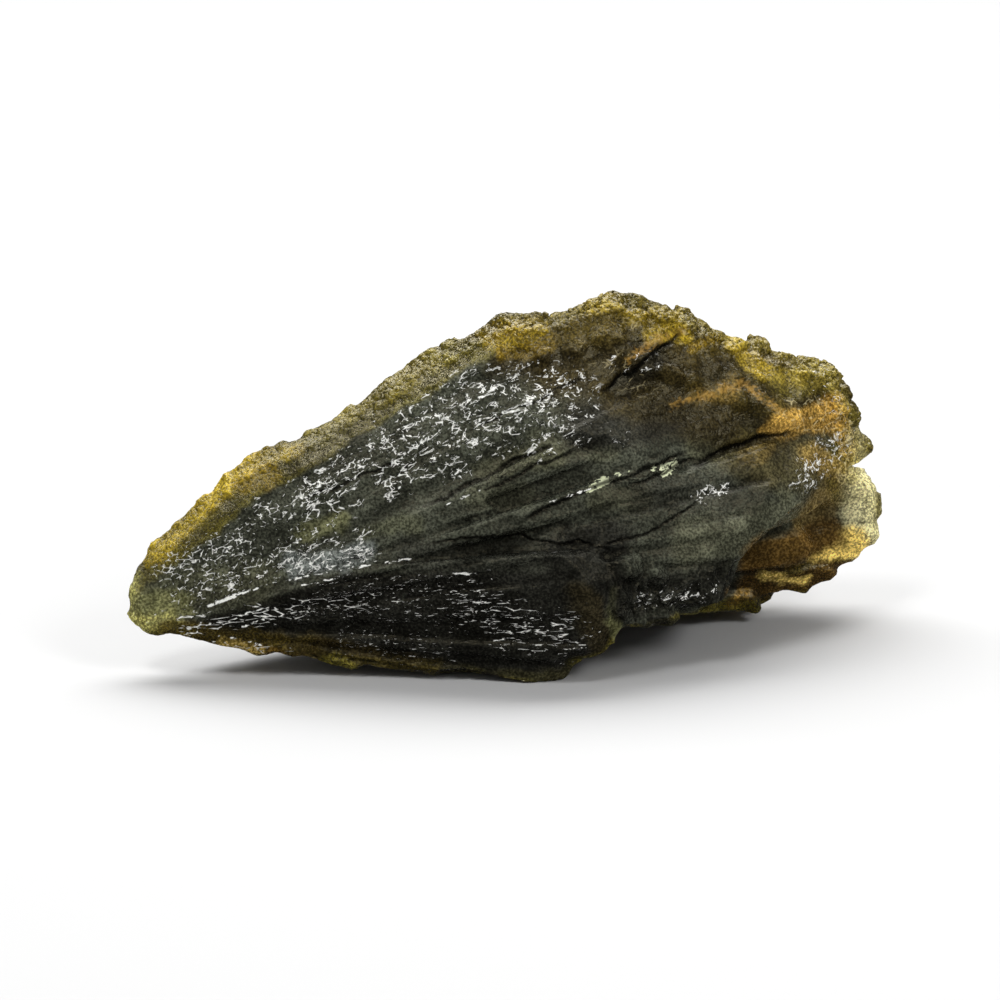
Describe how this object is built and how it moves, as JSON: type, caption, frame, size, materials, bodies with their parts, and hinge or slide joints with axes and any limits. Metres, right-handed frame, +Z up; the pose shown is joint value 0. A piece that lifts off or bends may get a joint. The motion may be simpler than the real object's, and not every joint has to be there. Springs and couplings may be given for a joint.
{
  "type": "epidote crystal",
  "caption": "Fan-shaped spray of dark green-brown epidote with long ribs on its face and a crust of stubby crystals round its rim and domed back.",
  "frame": {"origin": "centre of the bounding box's bottom face, on the surface the crystal rests on", "axes": "+X along the spray, from its growth point to its broad end; -Y is the ribbed face; +Z up"},
  "size_m": [0.0608, 0.0266, 0.029],
  "materials": {
    "epidote": "vitreous, striated, translucent at thin edges"
  },
  "bodies": {
    "root": {"epidote_crystal": "epidote"}
  },
  "joints": []
}
